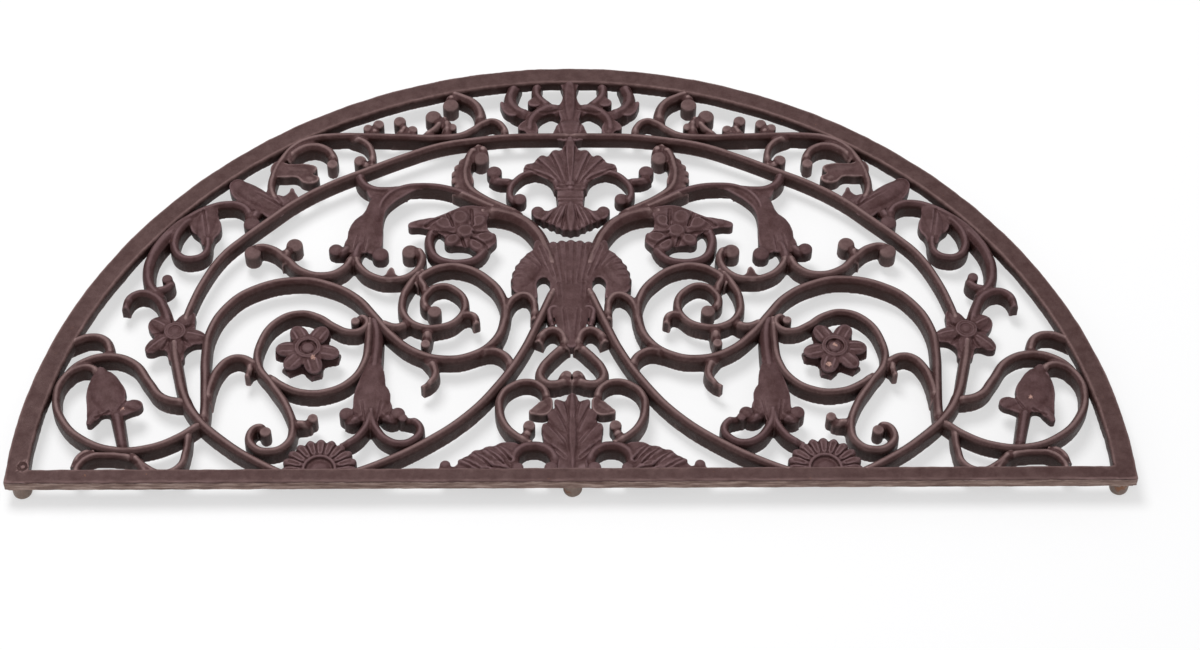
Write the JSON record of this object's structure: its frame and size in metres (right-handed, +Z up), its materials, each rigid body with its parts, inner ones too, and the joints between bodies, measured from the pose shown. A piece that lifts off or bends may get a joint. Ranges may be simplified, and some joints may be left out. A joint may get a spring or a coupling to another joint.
{
  "type": "half-round door mat",
  "caption": "Half-round openwork iron door mat: a bow-shaped rim and a straight rail frame scrolls, bells, rosettes and leaves, and short peg feet lift it off the ground.",
  "frame": {"origin": "middle of the mat's bounding box, on the ground plane that the foot soles stand on", "axes": "+X along the straight edge to the right as seen from the doorstep side, +Y from the straight edge towards the top of the bow, +Z up"},
  "size_m": [0.75, 0.375, 0.0215],
  "materials": {
    "frame_paint": "satin dark brown paint over a fine cast grain, paler where worn",
    "scroll_paint": "satin dark brown paint over a fine cast grain, paler along the bar tops",
    "leaf_paint": "satin dark brown paint over cast relief, paler on the raised veins",
    "worn_iron": "paint worn to matt rusty brown iron on the peg ends"
  },
  "bodies": {
    "root": {"outer_rim": "frame_paint", "base_rail": "frame_paint", "foot_front_left": "worn_iron", "foot_front_middle": "worn_iron", "foot_front_right": "worn_iron", "foot_back_left": "worn_iron", "foot_back_middle": "worn_iron", "foot_back_right": "worn_iron", "inner_arch": "scroll_paint", "shell": "leaf_paint", "left_star_flower": "leaf_paint", "right_star_flower": "leaf_paint", "left_sweep_bar": "scroll_paint", "right_sweep_bar": "scroll_paint", "left_stem_sweep": "scroll_paint", "right_stem_sweep": "scroll_paint", "left_ring_scroll": "scroll_paint", "right_ring_scroll": "scroll_paint", "left_rosette_scroll": "scroll_paint", "right_rosette_scroll": "scroll_paint", "left_lower_bell": "leaf_paint", "right_lower_bell": "leaf_paint", "left_rosette_ring": "scroll_paint", "right_rosette_ring": "scroll_paint", "left_tulip_ring": "scroll_paint", "right_tulip_ring": "scroll_paint", "left_tulip": "leaf_paint", "right_tulip": "leaf_paint", "left_corner_scroll": "scroll_paint", "right_corner_scroll": "scroll_paint", "left_inner_hook": "scroll_paint", "right_inner_hook": "scroll_paint", "left_rosette": "leaf_paint", "right_rosette": "leaf_paint", "left_half_daisy": "leaf_paint", "right_half_daisy": "leaf_paint", "left_cross_scroll": "scroll_paint", "right_cross_scroll": "scroll_paint", "left_spiral": "scroll_paint", "right_spiral": "scroll_paint", "left_upper_bell": "leaf_paint", "right_upper_bell": "leaf_paint", "upper_palmette": "leaf_paint", "left_stalk": "scroll_paint", "right_stalk": "scroll_paint", "left_upper_rosette": "leaf_paint", "right_upper_rosette": "leaf_paint", "crown": "leaf_paint", "left_border_loop": "leaf_paint", "right_border_loop": "leaf_paint", "left_border_scroll": "scroll_paint", "right_border_scroll": "scroll_paint", "bottom_acanthus": "leaf_paint", "left_heart_scroll": "scroll_paint", "right_heart_scroll": "scroll_paint", "left_foot_scroll": "scroll_paint", "right_foot_scroll": "scroll_paint", "left_foot_leaf": "leaf_paint", "right_foot_leaf": "leaf_paint"}
  },
  "joints": []
}
